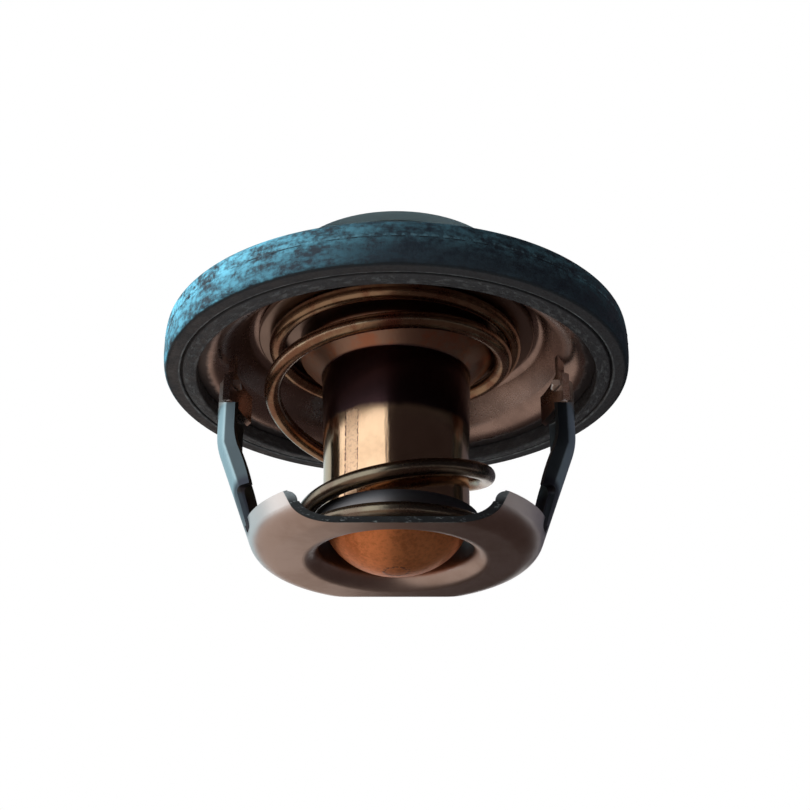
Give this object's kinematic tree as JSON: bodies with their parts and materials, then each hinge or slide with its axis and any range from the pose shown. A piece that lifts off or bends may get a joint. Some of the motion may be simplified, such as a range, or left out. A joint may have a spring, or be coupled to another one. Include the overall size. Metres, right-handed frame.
{
  "type": "engine thermostat",
  "caption": "Round coolant thermostat: sealed flange with a domed crown, a disc valve on a copper wax capsule, and a coil spring held in a lower bridge.",
  "frame": {"origin": "centre of the sealing ring, on the axis at mid-height of its outer wall", "axes": "+Z along the axis towards the crown, away from the bulb; the legs of the lower bridge stand at +X and -X"},
  "size_m": [0.0594, 0.0594, 0.0468],
  "materials": {
    "seal_rubber": "used black rubber, dusty satin",
    "pressed_steel": "drawn stainless sheet, smooth",
    "bridge_steel": "drawn stainless sheet, satin",
    "ground_steel": "ground and polished",
    "disc_steel": "smooth sheet",
    "copper": "drawn copper, tarnished in bands",
    "guide_brass": "turned",
    "inner_rubber": "moulded",
    "wax": "wax with metal powder",
    "spring_wire": "drawn wire with a bronze tint"
  },
  "bodies": {
    "frame": {"rubber_seal": "seal_rubber", "flange": "pressed_steel", "lower_bridge": "bridge_steel", "piston": "ground_steel", "spring": "spring_wire"},
    "valve": {"valve_disc": "disc_steel", "element_cup": "copper", "guide": "guide_brass", "diaphragm": "inner_rubber", "wax": "wax"}
  },
  "joints": [
    {"name": "valve_lift", "type": "slide", "parent": "frame", "child": "valve", "axis": [0, 0, -1], "range_m": [0, 0.008], "stiffness_N_per_m": 3000, "springref_m": -0.0002, "deforming": ["spring"]}
  ]
}
